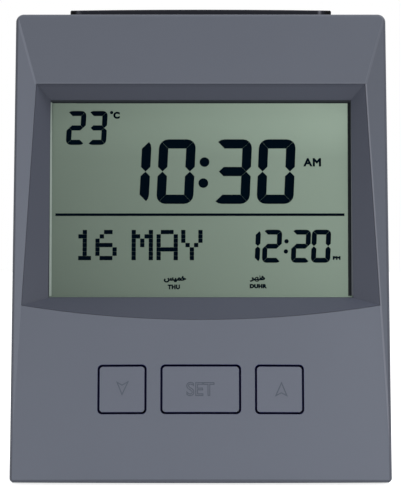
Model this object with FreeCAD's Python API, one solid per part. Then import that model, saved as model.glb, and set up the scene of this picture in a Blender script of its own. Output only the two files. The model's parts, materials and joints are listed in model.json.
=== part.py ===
import FreeCAD, Part
import math
import os

Vector = FreeCAD.Vector

# A free-standing desk clock for prayer times. Lengths are in millimetres, angles in degrees.
# Two frames are used. In the desk frame +Z is up, the front faces -Y and the case's base is at z = 0.
# The face frame has the same X, its Z runs up the clock's face and its Y runs into the clock: it is the
# desk frame leaned back about the front bottom edge, and leaned() brings a shape from one to the other.

# The face, added up from the display window outwards
window_width = 96.4
window_height = 64.4
side_bevel = 4.4
side_strip = 6.55
top_bevel = 4.3
bottom_bevel = 8.15
bottom_bevel_end = 3.15
forehead_height = 22.15
chin_height = 50.5

# Case
lean_angle = 11.0
hood_depth = 3.0
case_depth = 55.0
shell_depth = 16.0
wall = 2.2
front_wall = 2.4
rear_draft = 4.0
chin_bulge = 2.8
base_bulge = 1.4
rim_radius = 0.9
base_chamfer = 0.5
top_corner_radius = 2.5
base_corner_radius = 1.3
top_land = 1.0
least_radius = 0.3
least_length = 0.001

# Feet
foot_width = 12.0
foot_depth = 6.0
foot_height = 0.7
foot_seat = 0.8
foot_inset = 11.8

# Display
bevel_depth = 4.0
lip_depth = 1.2
lip_flare = 0.6
bezel_gap = 0.1
flange_width = 2.0
flange_thickness = 1.6
glass_margin = 2.3
glass_ledge = 2.6
glass_thickness = 1.1
reflector_thickness = 0.4
holder_wall = 1.6
holder_ledge = 2.0
fit_gap = 0.2
strip_height = 1.6
strip_inset = 4.5
holder_step = 1.5

# Keys
key_centre = 28.8
key_height = 15.4
arrow_key_width = 15.2
set_key_width = 25.0
key_space = 4.35
key_gap = 0.6
key_corner = 1.45
key_hollow = 0.2
key_wall = 1.4
key_flange = 1.1
key_flange_thickness = 1.2
key_seat = 3.0
guide_wall = 1.4
guide_root = 1.0
stem_radius = 2.0
stem_root = 0.25

# Circuit board and switches
board_front = 11.5
board_thickness = 1.6
board_margin = 3.6
board_bottom = 16.0
board_top_gap = 12.5
switch_size = 6.0
switch_height = 3.5
switch_wall = 0.8
plunger_radius = 1.75
plunger_length = 2.6
plunger_rest = 0.4
press_travel = 1.2
plunger_clearance = 0.08

# Parts on the back of the main board, each place as (x, height up the face)
blob_radius = 7.0
blob_thickness = 1.9
blob_height = 88.0
sound_chip_place = (26.0, 60.0)
chip_length = 10.0
chip_width = 7.6
chip_thickness = 2.2
crystal_place = (-16.0, 84.0)
crystal_radius = 1.1
crystal_length = 6.0
capacitor_place = (-30.0, 58.0)
capacitor_radius = 3.15
capacitor_height = 7.0
thermistor_inset = 7.2
thermistor_height = 40.0
bead_width = 2.0
bead_height = 2.6
bead_thickness = 1.2
bead_corner = 0.9

# Snooze bar
bar_length = 84.3
bar_depth = 11.0
bar_setback = 7.0
bar_stand = 2.0
bar_crown = 0.3
bar_gap = 0.35
bar_flange = 1.2
bar_corner = 0.5
bar_edge = 0.4
shelf_length = 28.0
shelf_thickness = 2.0
shelf_drop = 9.9
peg_size = 1.8
peg_inset = 3.0

# Batteries (two R6 cells), their bay and its door
cell_radius = 7.25
cell_length = 50.5
cell_gap = 0.5
nub_radius = 2.75
nub_height = 1.0
bay_base = 9.0
bay_wall = 1.6
contact_room = 3.0
contact_thickness = 0.4
door_thickness = 1.8
door_gap = 0.3
door_ledge = 1.6
door_corner = 1.0
hook_width = 6.0
hook_reach = 1.6
hook_thickness = 1.2
hook_spread = 15.0
hook_rise = 2.0
hook_swing = 0.7
grip_count = 5
grip_pitch = 2.4
grip_width = 1.2
grip_length = 14.0
grip_depth = 0.5
notch_radius = 4.0
leaf_width = 6.0
leaf_half = 5.0
leaf_flat = 1.6
leaf_border = 0.8
leaf_root = 0.3

# Loudspeaker
speaker_half = 20.0
speaker_rim = 1.2
speaker_rim_width = 2.6
speaker_depth = 6.0
basket_wall = 0.6
cone_wall = 0.5
cone_gap = 0.1
cap_radius = 7.0
cone_rise = 2.0
magnet_radius = 9.0
magnet_height = 5.0
speaker_centre = 96.0
collar_wall = 1.2
slot_height = 1.8
slot_pitch = 3.6
slot_count = 9
clamp_thickness = 1.5
clamp_overlap = 2.0
clamp_length = 9.0
clamp_width = 8.0

# Screws and their posts
boss_half = 3.0
boss_inset = 9.0
boss_rise = 8.5
pilot_radius = 1.1
screw_radius = 1.0
screw_bite = 8.0
shank_clearance = 0.2
well_wall = 1.2
well_floor = 2.5
head_radius = 2.75
head_height = 1.8
head_clearance = 0.8
post_half = 2.4
post_inset = 11.0
post_rise = 3.8
board_screw_length = 7.0
facet_count = 12

# Derived sizes of the face
half_width = window_width / 2 + side_bevel + side_strip
window_bottom = chin_height + bottom_bevel
window_top = window_bottom + window_height
window_middle = (window_bottom + window_top) / 2
recess_top = window_top + top_bevel
recess_end = window_bottom - bottom_bevel_end
recess_half_top = window_width / 2 + side_bevel
case_height = recess_top + forehead_height

# Derived places behind the face, in the face frame
lip_back = bevel_depth + lip_depth
glass_back = lip_back + 2 * glass_thickness
reflector_back = glass_back + reflector_thickness
glass_half = window_width / 2 + glass_margin
glass_height = window_height + 2 * glass_margin
board_back = board_front + board_thickness
board_half = half_width - wall - board_margin
board_top = case_height - board_top_gap
switch_front = board_front - switch_height
plunger_stand = press_travel + plunger_rest
plunger_front = switch_front - plunger_stand
key_pitch = (set_key_width + arrow_key_width) / 2 + key_space

# Derived places in the desk frame
sin_lean = math.sin(math.radians(lean_angle))
cos_lean = math.cos(math.radians(lean_angle))
tan_draft = math.tan(math.radians(rear_draft))
lean = FreeCAD.Placement(Vector(0, 0, 0), FreeCAD.Rotation(Vector(1, 0, 0), -lean_angle))
case_top = hood_depth * sin_lean + case_height * cos_lean
rim_back = case_height * sin_lean - hood_depth * cos_lean
rear_inside = case_depth - wall
beyond = 10.0


def box(x_low, x_high, y_low, y_high, z_low, z_high):
    return Part.makeBox(x_high - x_low, y_high - y_low, z_high - z_low, Vector(x_low, y_low, z_low))


def rod(radius, start, end):
    return Part.makeCylinder(radius, (end - start).Length, start, end - start)


def prism(points, travel):
    return Part.Face(Part.makePolygon(points + [points[0]])).extrude(travel)


def frustum(low, high):
    """A solid with flat faces between two outlines that have as many corners each."""
    faces = [Part.Face(Part.makePolygon(outline + [outline[0]])) for outline in (low, high)]
    for index in range(len(low)):
        after = (index + 1) % len(low)
        side = [low[index], low[after], high[after], high[index], low[index]]
        faces.append(Part.Face(Part.makePolygon(side)))
    return Part.makeSolid(Part.makeShell(faces))


def along(shape, axis):
    """Straight edges of a shape that run along an axis."""
    straight = [edge for edge in shape.Edges if edge.Curve.TypeId == "Part::GeomLine"]
    return [edge for edge in straight
            if edge.tangentAt(edge.FirstParameter).cross(axis).Length < least_length]


def block(width, height, y_low, y_high, x_mid, z_mid):
    """A rectangle in the XZ plane, made thick along Y."""
    return box(x_mid - width / 2, x_mid + width / 2, y_low, y_high, z_mid - height / 2, z_mid + height / 2)


def pin(radius, y_low, y_high, x_mid, z_mid):
    """A rod along Y."""
    return rod(radius, Vector(x_mid, y_low, z_mid), Vector(x_mid, y_high, z_mid))


def faceted(radius, start, end):
    """A rod square to X whose flat sides touch its radius, for small forms that repeat."""
    corner = Vector(radius / math.cos(math.pi / facet_count), 0, 0)
    turns = [FreeCAD.Rotation(end - start, 360 * index / facet_count) for index in range(facet_count)]
    return prism([start + turn.multVec(corner) for turn in turns], end - start)


def faceted_pin(radius, y_low, y_high, x_mid, z_mid):
    """A faceted rod along Y."""
    return faceted(radius, Vector(x_mid, y_low, z_mid), Vector(x_mid, y_high, z_mid))


def plate(width, height, radius, y_low, y_high, x_mid, z_mid):
    """A block with its four edges along Y rounded."""
    blank = block(width, height, y_low, y_high, x_mid, z_mid)
    return blank.makeFillet(radius, along(blank, Vector(0, 1, 0)))


def leaned(shape):
    """A shape of the face frame, moved to the desk frame."""
    result = shape.copy()
    result.Placement = lean.multiply(result.Placement)
    return result


def face_point(depth, height):
    """A point of the face frame at x = 0, in the desk frame."""
    return lean.multVec(Vector(0, depth, height))


def level_point(bottom_depth, top_depth, level):
    """Where a line up the face reaches a level of the desk frame."""
    low = face_point(bottom_depth, 0)
    high = face_point(top_depth, case_height)
    return low + (high - low) * ((level - low.z) / (high.z - low.z))


def crease_half(height):
    """Half the width between the two long creases of the face."""
    return half_width - (half_width - recess_half_top) * height / recess_top


# The case's forms

def front_block(inset, bottom_depth, top_depth):
    """The front half of the case, from a line up the face back to the parting plane."""
    side_x = half_width - inset
    corners = [level_point(bottom_depth, top_depth, inset),
               level_point(bottom_depth, top_depth, case_top - inset),
               level_point(shell_depth, shell_depth, case_top - inset),
               level_point(shell_depth, shell_depth, inset)]
    half = prism([corner - Vector(side_x, 0, 0) for corner in corners], Vector(2 * side_x, 0, 0))
    for radius, upper in ((top_corner_radius, True), (base_corner_radius, False)):
        edges = [edge for edge in along(half, Vector(0, 1, 0))
                 if (edge.CenterOfMass.z > case_top / 2) == upper]
        half = half.makeFillet(max(radius - inset, least_radius), edges)
    return half


def rear_block(inset):
    """The rear half of the case, from the parting plane to the upright rear wall."""
    side_x = half_width - inset
    rear = case_depth - inset
    top = case_top - inset
    radius = top_rear_radius - inset
    low = level_point(shell_depth, shell_depth, inset)
    high = level_point(shell_depth, shell_depth, top)
    turn = radius * (1 - math.sqrt(0.5))
    bend = Part.Arc(Vector(0, rear - radius, top), Vector(0, rear - turn, top - turn),
                    Vector(0, rear, top - radius))
    sides = [Part.LineSegment(low, high), Part.LineSegment(high, Vector(0, rear - radius, top)), bend,
             Part.LineSegment(Vector(0, rear, top - radius), Vector(0, rear, inset)),
             Part.LineSegment(Vector(0, rear, inset), low)]
    face = Part.Face(Part.Wire([side.toShape() for side in sides]))
    face.translate(Vector(-side_x, 0, 0))
    half = face.extrude(Vector(2 * side_x, 0, 0))
    reach = case_depth + case_height
    for side in (-1, 1):
        slope = [Vector(side * side_x, shell_depth, -reach),
                 Vector(side * (side_x + reach), shell_depth, -reach),
                 Vector(side * (side_x + reach), shell_depth + reach, -reach),
                 Vector(side * (side_x - reach * tan_draft), shell_depth + reach, -reach)]
        half = half.cut(leaned(prism(slope, Vector(0, 0, 3 * reach))))
    return half


def chin(inset, depth, thickness):
    """The chin's convex front, set back by a depth and trimmed to the case's sides and base."""
    sections = []
    base_half = half_width - rim_radius - inset
    top_half = crease_half(recess_end) - inset
    for height in (-beyond, recess_end):
        bulge = base_bulge + (chin_bulge - base_bulge) * height / chin_height
        half = base_half + (top_half - base_half) * height / recess_end
        arc = Part.Arc(Vector(-half, depth, height), Vector(0, depth - bulge, height),
                       Vector(half, depth, height))
        back = [Vector(half, depth, height), Vector(half, depth + thickness, height),
                Vector(-half, depth + thickness, height), Vector(-half, depth, height)]
        sections.append(Part.Wire([arc.toShape()] + Part.makePolygon(back).Edges))
    solid = leaned(Part.makeLoft(sections, True, True))
    half = half_width - inset
    return solid.common(box(-half, half, -case_depth, case_depth, inset, case_height))


def dish():
    """The hollow of the forehead and of the two side strips, which leaves the rim standing proud."""
    side_run = (half_width - rim_radius - crease_half(case_height)) / hood_depth
    top_run = (forehead_height - rim_radius) / hood_depth
    corner_run = side_run - top_run * (half_width - recess_half_top) / recess_top
    outlines = []
    for depth in (0, 2 * hood_depth):
        low_half = crease_half(-beyond) + side_run * depth
        high_half = recess_half_top + corner_run * depth
        high = recess_top + top_run * depth
        outlines.append([Vector(-low_half, -depth, -beyond), Vector(low_half, -depth, -beyond),
                         Vector(high_half, -depth, high), Vector(-high_half, -depth, high)])
    return leaned(frustum(outlines[0], outlines[1]))


def rim_edges(shape):
    """The edges of the front block that lie on the sloping plane of the rim."""
    low = face_point(0, 0)
    normal = (face_point(-hood_depth, case_height) - low).cross(Vector(1, 0, 0)).normalize()
    rim = []
    for edge in shape.Edges:
        points = [vertex.Point for vertex in edge.Vertexes]
        if all(abs((point - low).dot(normal)) < least_length for point in points):
            rim.append(edge)
    return rim


def recess_outline(depth):
    """The recess's outline at one depth: three straight sides and an arc along the bottom."""
    low_half = crease_half(recess_end)
    arc = Part.Arc(Vector(-low_half, depth, recess_end), Vector(0, depth, chin_height),
                   Vector(low_half, depth, recess_end))
    rest = [Vector(low_half, depth, recess_end), Vector(recess_half_top, depth, recess_top),
            Vector(-recess_half_top, depth, recess_top), Vector(-low_half, depth, recess_end)]
    return Part.Wire([arc.toShape()] + Part.makePolygon(rest).Edges)


def recess_prism(grow, front, back):
    """The recess's outline, grown or shrunk all round, as a prism between two depths."""
    wire = recess_outline(front)
    face = Part.Face(wire)
    if grow:
        face = face.makeOffset2D(grow, 2)
    return face.extrude(Vector(0, back - front, 0))


def bevel_cutter():
    """The space in front of the bezel's four sloping faces, down to the window's lip."""
    run = 2.0
    sections = []
    low_half = crease_half(recess_end)
    half = window_width / 2
    middle_run = bottom_bevel / (bevel_depth + chin_bulge)
    for share, depth in ((0, bevel_depth), (run, bevel_depth * (1 - run))):
        low_x = half + (low_half - half) * share
        high_x = half + (recess_half_top - half) * share
        low = window_bottom - bottom_bevel_end * share
        high = window_top + top_bevel * share
        middle = window_bottom - middle_run * bevel_depth * share
        if share:
            bottom = Part.Arc(Vector(-low_x, depth, low), Vector(0, depth, middle), Vector(low_x, depth, low))
        else:
            bottom = Part.LineSegment(Vector(-low_x, depth, low), Vector(low_x, depth, low))
        rest = [Vector(low_x, depth, low), Vector(high_x, depth, high), Vector(-high_x, depth, high),
                Vector(-low_x, depth, low)]
        sections.append(Part.Wire([bottom.toShape()] + Part.makePolygon(rest).Edges))
    return Part.makeLoft(sections, True, True)


def lip_cutter():
    """The opening through the window's drafted lip, which narrows towards the glass."""
    outlines = []
    for share in (0, 2):
        depth = bevel_depth + lip_depth * share
        half = window_width / 2 - lip_flare * share
        low = window_bottom + lip_flare * share
        high = window_top - lip_flare * share
        outlines.append([Vector(-half, depth, low), Vector(half, depth, low),
                         Vector(half, depth, high), Vector(-half, depth, high)])
    return frustum(outlines[0], outlines[1])


# Places that several pieces share

sides = (-1, 1)
bar_front = rim_back + bar_setback
bar_middle = bar_front + bar_depth / 2
shelf_top = case_top - wall - shelf_drop
plunger_top = shelf_top + board_thickness + switch_height + plunger_stand
top_rear_radius = case_depth - level_point(shell_depth, shell_depth, case_top).y - top_land
bay_half = cell_length / 2 + contact_room
bay_top = bay_base + 4 * cell_radius + 3 * cell_gap
door_back = case_depth - door_thickness
bay_front = door_back - 2 * cell_radius - 2 * cell_gap
door_half = bay_half + door_ledge
door_low = bay_base - door_ledge
door_high = bay_top + door_ledge
cell_y = (bay_front + door_back) / 2
cell_levels = (bay_base + cell_gap + cell_radius, bay_base + 2 * cell_gap + 3 * cell_radius)
well_radius = head_radius + head_clearance
clamp_x = speaker_half - clamp_overlap + clamp_length / 2
clamp_screw_x = speaker_half + fit_gap + collar_wall + post_half
keys = {"down": (-key_pitch, arrow_key_width), "set": (0, set_key_width), "up": (key_pitch, arrow_key_width)}
board_posts = [(side * (board_half - post_inset), height)
               for height in (board_bottom + post_rise, board_top - post_rise) for side in sides]
case_posts = [(side * (half_width - boss_inset), level)
              for level in (boss_rise, case_top - boss_rise) for side in sides]
feet = [(side * (half_width - foot_inset), y)
        for y in (foot_inset, case_depth - foot_inset) for side in sides]


def joint_depth(level):
    """Where the front half's post at a level meets the rear half's well."""
    return level_point(shell_depth, shell_depth, level - boss_half).y


def foot(x, y):
    """A rubber pad, and the cutter of its pocket in the base."""
    return box(x - foot_width / 2, x + foot_width / 2, y - foot_depth / 2, y + foot_depth / 2,
               -foot_height, foot_seat)


# Case

def front_case():
    case = front_block(0, 0, -hood_depth)
    case = case.makeFillet(rim_radius, rim_edges(case)).cut(dish())
    bulge = chin(0, 0, front_wall)
    lowest = [edge for edge in bulge.Edges
              if edge.CenterOfMass.y < 0 and abs(edge.CenterOfMass.z) < least_length]
    case = case.fuse(bulge.makeChamfer(base_chamfer, lowest))
    hollow = front_block(wall, front_wall, front_wall).fuse(chin(wall, front_wall, front_wall))
    case = case.cut(hollow).cut(leaned(recess_prism(0, -beyond, beyond)))
    added = []
    cut = [foot(*place) for place in feet]
    for x, width in keys.values():
        added.append(leaned(block(width + 2 * guide_wall, key_height + 2 * guide_wall, -guide_root, key_seat,
                                  x, key_centre)))
        cut.append(leaned(plate(width, key_height, key_corner, -beyond, beyond, x, key_centre)))
    for x, height in board_posts:
        added.append(leaned(block(2 * post_half, 2 * post_half, front_wall / 2, board_front, x, height)))
        cut.append(leaned(faceted_pin(pilot_radius, front_wall, board_front, x, height)))
    for x, level in case_posts:
        end = joint_depth(level)
        start = level_point(front_wall / 2, front_wall / 2, level).y
        added.append(block(2 * boss_half, 2 * boss_half, start, end, x, level))
        cut.append(faceted_pin(pilot_radius, end - screw_bite, end, x, level))
    shelf_front = level_point(front_wall / 2, front_wall / 2, shelf_top).y
    added.append(box(-shelf_length / 2, shelf_length / 2, shelf_front, bar_front + bar_depth,
                     shelf_top - shelf_thickness, shelf_top))
    added.extend(board_pegs(0))
    cut.append(box(-bar_length / 2 - bar_gap, bar_length / 2 + bar_gap, bar_front - bar_gap,
                   bar_front + bar_depth + bar_gap, case_top - wall - fit_gap, case_top + beyond))
    return case.fuse(added).cut(cut).removeSplitter()


def board_pegs(grow):
    """The square pegs that hold the snooze board, or with a clearance the cutters of its holes."""
    half = peg_size / 2 + grow
    middles = [side * (shelf_length / 2 - peg_inset) for side in sides]
    return [box(x - half, x + half, bar_middle - half, bar_middle + half,
                shelf_top, shelf_top + board_thickness) for x in middles]


def rear_case():
    case = rear_block(0)
    side_edges = []
    for edge in case.Edges:
        depths = [lean.inverse().multVec(vertex.Point).y for vertex in edge.Vertexes]
        parted = all(abs(depth - shell_depth) < least_length for depth in depths)
        if not parted and abs(edge.CenterOfMass.x) > half_width / 2:
            side_edges.append(edge)
    case = case.makeFillet(base_corner_radius, side_edges)
    case = case.cut(rear_block(wall))
    added = [box(-door_half, door_half, bay_front - bay_wall, case_depth - wall / 2, door_low, door_high)]
    added.extend(speaker_seat())
    cut = [foot(*place) for place in feet]
    cut.extend(faceted_pin(pilot_radius, rear_inside - speaker_rim, rear_inside + wall / 2,
                           side * clamp_screw_x, speaker_centre) for side in sides)
    cut.append(box(-bay_half, bay_half, bay_front, case_depth + beyond, bay_base, bay_top))
    cut.append(plate(2 * (door_half + door_gap), door_high - door_low + 2 * door_gap, door_corner,
                     door_back, case_depth + beyond, 0, (door_low + door_high) / 2))
    for side in sides:
        x = side * hook_spread
        reach = hook_width / 2 + door_gap
        cut.append(box(x - reach, x + reach, rear_inside - hook_thickness - hook_swing - door_gap, door_back,
                       door_low - door_gap, bay_base))
    cut.append(rod(notch_radius, Vector(0, case_depth + notch_radius / 2, door_high),
                   Vector(0, case_depth + notch_radius / 2, door_high + notch_radius)))
    for x, level in case_posts:
        start = joint_depth(level)
        size = 2 * (well_radius + well_wall)
        added.append(block(size, size, start, case_depth - wall / 2, x, level))
        cut.append(pin(well_radius, start + well_floor, case_depth + beyond, x, level))
        cut.append(faceted_pin(screw_radius + shank_clearance, start, start + well_floor, x, level))
    outside = rear_block(0)
    case = case.fuse([piece.common(outside.fuse(front_block(wall, 0, 0))) for piece in added]).cut(cut)
    return case.cut(slots()).removeSplitter()


def speaker_seat():
    """The collar round the loudspeaker's frame, and the posts of its two clamps beside it."""
    rim_front = rear_inside - speaker_rim
    room = 2 * (speaker_half + fit_gap)
    size = room + 2 * collar_wall
    collar = block(size, size, rim_front, rear_inside + wall / 2, 0, speaker_centre)
    pieces = [collar.cut(block(room, room, rim_front, rear_inside, 0, speaker_centre))]
    for side in sides:
        pieces.append(block(2 * post_half, 2 * post_half, rim_front, rear_inside + wall / 2,
                            side * clamp_screw_x, speaker_centre))
    return pieces


def slots():
    """The loudspeaker's sound slots, as long as a round grille allows at each level."""
    reach = speaker_half - speaker_rim_width - slot_height / 2
    cutters = []
    for index in range(slot_count):
        offset = (index - (slot_count - 1) / 2) * slot_pitch
        if abs(offset) < reach:
            length = 2 * math.sqrt(reach ** 2 - offset ** 2) + slot_height
            cutters.append(block(length, slot_height, rear_inside - fit_gap, case_depth + beyond,
                                 0, speaker_centre + offset))
    return cutters


# Display

def screen_bezel():
    bezel = recess_prism(-bezel_gap, -chin_bulge - fit_gap, lip_back)
    flange = recess_prism(flange_width, front_wall, front_wall + flange_thickness)
    bezel = bezel.fuse(flange).cut([bevel_cutter(), lip_cutter()])
    return leaned(bezel).common(front_block(wall + fit_gap, -beyond, -beyond)).removeSplitter()


def lcd_panel():
    front = box(-glass_half, glass_half, lip_back, lip_back + glass_thickness,
                window_bottom - glass_margin, window_top + glass_margin)
    rear = box(-glass_half, glass_half, lip_back + glass_thickness, glass_back,
               window_bottom - glass_margin + glass_ledge, window_top + glass_margin)
    return leaned(front.fuse(rear).removeSplitter())


def lcd_reflector():
    return leaned(box(-glass_half, glass_half, glass_back, reflector_back,
                      window_bottom - glass_margin + glass_ledge, window_top + glass_margin))


def lcd_holder():
    outer = plate(2 * (glass_half + fit_gap + holder_wall), glass_height + 2 * (fit_gap + holder_wall),
                  holder_wall, lip_back, board_front, 0, window_middle)
    pocket = box(-glass_half - fit_gap, glass_half + fit_gap, lip_back, reflector_back,
                 window_middle - glass_height / 2 - fit_gap, window_middle + glass_height / 2 + fit_gap)
    opening = box(-glass_half + holder_ledge, glass_half - holder_ledge, lip_back, board_front,
                  window_middle - glass_height / 2 + glass_ledge + holder_ledge,
                  window_middle + glass_height / 2 - holder_ledge)
    strip_low = window_bottom - glass_margin
    strip_room = box(-glass_half + strip_inset - fit_gap, glass_half - strip_inset + fit_gap,
                     lip_back, board_front, strip_low, strip_low + strip_height + 2 * fit_gap)
    behind = box(-glass_half - fit_gap, glass_half + fit_gap, reflector_back + holder_step, board_front,
                 strip_low + glass_ledge, window_top + glass_margin + fit_gap)
    return leaned(outer.cut([pocket, opening, strip_room, behind]))


def zebra_strip():
    low = window_bottom - glass_margin + fit_gap
    return leaned(box(-glass_half + strip_inset, glass_half - strip_inset, lip_back + glass_thickness,
                      board_front, low, low + strip_height))


# Boards and what is soldered to them

def main_board():
    board = box(-board_half, board_half, board_front, board_back, board_bottom, board_top)
    holes = [faceted_pin(screw_radius + shank_clearance, board_front, board_back, x, height)
             for x, height in board_posts]
    return leaned(board.cut(holes))


def snooze_board():
    half = shelf_length / 2 - fit_gap
    board = box(-half, half, bar_front, bar_front + bar_depth, shelf_top, shelf_top + board_thickness)
    return board.cut(board_pegs(plunger_clearance))


def tact_switch(x, height):
    """A push switch on the main board, open towards the key."""
    body = block(switch_size, switch_size, switch_front, board_front, x, height)
    bore = faceted_pin(plunger_radius + plunger_clearance, switch_front, board_front - switch_wall, x, height)
    return leaned(body.cut(bore))


def tact_plunger(x, height):
    return leaned(faceted_pin(plunger_radius, plunger_front, plunger_front + plunger_length, x, height))


def snooze_switch():
    low = shelf_top + board_thickness
    half = switch_size / 2
    body = box(-half, half, bar_middle - half, bar_middle + half, low, low + switch_height)
    return body.cut(faceted(plunger_radius + plunger_clearance, Vector(0, bar_middle, low + switch_wall),
                            Vector(0, bar_middle, low + switch_height)))


def snooze_plunger():
    low = plunger_top - plunger_length
    return faceted(plunger_radius, Vector(0, bar_middle, low), Vector(0, bar_middle, plunger_top))


def chip_cover():
    return leaned(pin(blob_radius, board_back, board_back + blob_thickness, 0, blob_height))


def sound_chip():
    return leaned(block(chip_length, chip_width, board_back, board_back + chip_thickness, *sound_chip_place))


def quartz_crystal():
    x, height = crystal_place
    y = board_back + crystal_radius
    return leaned(rod(crystal_radius, Vector(x, y, height), Vector(x, y, height + crystal_length)))


def capacitor():
    return leaned(pin(capacitor_radius, board_back, board_back + capacitor_height, *capacitor_place))


def thermistor():
    return leaned(plate(bead_width, bead_height, bead_corner, board_back, board_back + bead_thickness,
                        board_half - thermistor_inset, thermistor_height))


# Keys and snooze bar

def key(x, width):
    blank = plate(width - 2 * key_gap, key_height - 2 * key_gap, key_corner - key_gap / 2, -beyond, key_seat,
                  x, key_centre)
    cap = leaned(blank).common(chin(0, 0, key_seat))
    back = key_seat + key_flange_thickness
    flange = block(width + 2 * key_flange, key_height + 2 * key_flange, key_seat, back, x, key_centre)
    inset = 2 * (key_gap + key_wall)
    room = block(width - inset, key_height - inset, key_hollow, back, x, key_centre)
    stem = faceted_pin(stem_radius, key_hollow - stem_root, plunger_front, x, key_centre)
    return cap.fuse(leaned(flange)).cut(leaned(room)).fuse(leaned(stem)).removeSplitter()


def snooze_bar():
    half = bar_length / 2
    low = case_top - wall
    end = case_top + bar_stand
    crown = Part.Arc(Vector(half, bar_front, end), Vector(0, bar_front, end + bar_crown),
                     Vector(-half, bar_front, end))
    rest = [Vector(-half, bar_front, end), Vector(-half, bar_front, low), Vector(half, bar_front, low),
            Vector(half, bar_front, end)]
    face = Part.Face(Part.Wire([crown.toShape()] + Part.makePolygon(rest).Edges))
    bar = face.extrude(Vector(0, bar_depth, 0))
    ends = [edge for edge in along(bar, Vector(0, 1, 0)) if edge.CenterOfMass.z > case_top]
    bar = bar.makeFillet(bar_corner, ends)
    tops = [edge for edge in bar.Edges
            if edge.BoundBox.ZMin > case_top and edge.BoundBox.YLength < least_length]
    bar = bar.makeChamfer(bar_edge, tops)
    flange = box(-half - bar_flange, half + bar_flange, bar_front - bar_flange,
                 bar_front + bar_depth + bar_flange, low - bar_flange, low)
    stem = faceted(stem_radius, Vector(0, bar_middle, plunger_top), Vector(0, bar_middle, low - bar_flange))
    return bar.fuse([flange, stem]).removeSplitter()


# Batteries

def battery(level, turn):
    """One cell lying along X, its raised end on the side that turn gives."""
    start = -turn * cell_length / 2
    shoulder = start + turn * (cell_length - nub_height)
    tip = shoulder + turn * nub_height
    can = rod(cell_radius, Vector(start, cell_y, level), Vector(shoulder, cell_y, level))
    nub = rod(nub_radius, Vector(shoulder, cell_y, level), Vector(tip, cell_y, level))
    return can.fuse(nub)


def contact(side, levels):
    """A contact plate against one end wall of the bay, with a bent leaf for each of its cells."""
    wall_x = side * bay_half
    face_x = side * (bay_half - contact_thickness)
    root_x = face_x + side * leaf_root
    end_x = side * cell_length / 2
    x_low, x_high = sorted((wall_x, face_x))
    plate_low = levels[0] - leaf_half - leaf_border
    plate_high = levels[-1] + leaf_half + leaf_border
    pieces = [box(x_low, x_high, cell_y - leaf_width / 2, cell_y + leaf_width / 2, plate_low, plate_high)]
    strip = Vector(side * contact_thickness, 0, 0)
    edge = Vector(0, cell_y - leaf_width / 2, 0)
    for level in levels:
        free_x = face_x - 2 * strip.x
        face = [Vector(face_x, 0, level - leaf_half), Vector(end_x, 0, level - leaf_flat),
                Vector(end_x, 0, level + leaf_flat), Vector(free_x, 0, level + leaf_half)]
        back = [face[3] + strip, face[2] + strip, face[1] + strip, Vector(root_x, 0, level - leaf_half)]
        pieces.append(prism([edge + point for point in face + back], Vector(0, leaf_width, 0)))
    return pieces[0].fuse(pieces[1:]).removeSplitter()


def battery_door():
    door = plate(2 * door_half, door_high - door_low, door_corner, door_back, case_depth,
                 0, (door_low + door_high) / 2)
    hook_back = rear_inside - fit_gap
    hook_front = hook_back - hook_thickness
    hooks = []
    for side in sides:
        x_low = side * hook_spread - hook_width / 2
        x_high = side * hook_spread + hook_width / 2
        hooks.append(box(x_low, x_high, hook_front, door_back, door_low, bay_base + hook_rise))
        hooks.append(box(x_low, x_high, hook_front, hook_back, door_low - hook_reach, door_low))
    grips = []
    for index in range(grip_count):
        level = door_high - notch_radius - index * grip_pitch
        grips.append(box(-grip_length / 2, grip_length / 2, case_depth - grip_depth, case_depth,
                         level - grip_width / 2, level + grip_width / 2))
    return door.fuse(hooks).cut(grips).removeSplitter()


# Loudspeaker

def speaker_basket():
    """The square frame and the round cup behind it."""
    size = 2 * speaker_half
    frame = block(size, size, rear_inside - speaker_rim, rear_inside, 0, speaker_centre)
    floor = rear_inside - speaker_depth
    cup_radius = speaker_half - speaker_rim_width
    cup = pin(cup_radius, floor, rear_inside, 0, speaker_centre)
    hollow = pin(cup_radius - basket_wall, floor + basket_wall, rear_inside, 0, speaker_centre)
    return frame.fuse(cup).cut(hollow)


def speaker_cone():
    """The pressed diaphragm: a flat surround inside the basket and a raised flat cap at its middle."""
    edge = speaker_half - speaker_rim_width - basket_wall - cone_gap
    back = rear_inside - speaker_depth + 2 * basket_wall
    surround = pin(edge, back, back + cone_wall, 0, speaker_centre)
    return surround.fuse(pin(cap_radius, back, back + cone_rise, 0, speaker_centre))


def speaker_magnet():
    back = rear_inside - speaker_depth
    return pin(magnet_radius, back - magnet_height, back, 0, speaker_centre)


def speaker_clamp(side):
    """A flat clamp that a screw beside the collar draws down on the frame's edge."""
    back = rear_inside - speaker_rim
    clamp = block(clamp_length, clamp_width, back - clamp_thickness, back, side * clamp_x, speaker_centre)
    return clamp.cut(faceted_pin(screw_radius + shank_clearance, back - clamp_thickness, back,
                                 side * clamp_screw_x, speaker_centre))


# Fastenings

def screw(seat, drive, length):
    """A pan-head screw: its head stands on the seat and its shank runs along drive."""
    head = faceted(head_radius, seat - drive * head_height, seat)
    shank = faceted(screw_radius, seat, seat + drive * length)
    return head.fuse(shank)


def case_screw(x, level):
    seat = Vector(x, joint_depth(level) + well_floor, level)
    return screw(seat, Vector(0, -1, 0), well_floor + screw_bite)


def board_screw(x, height):
    return leaned(screw(Vector(x, board_back, height), Vector(0, -1, 0), board_screw_length))


def clamp_screw(side):
    seat = Vector(side * clamp_screw_x, rear_inside - speaker_rim - clamp_thickness, speaker_centre)
    return screw(seat, Vector(0, 1, 0), clamp_thickness + speaker_rim)


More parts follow.
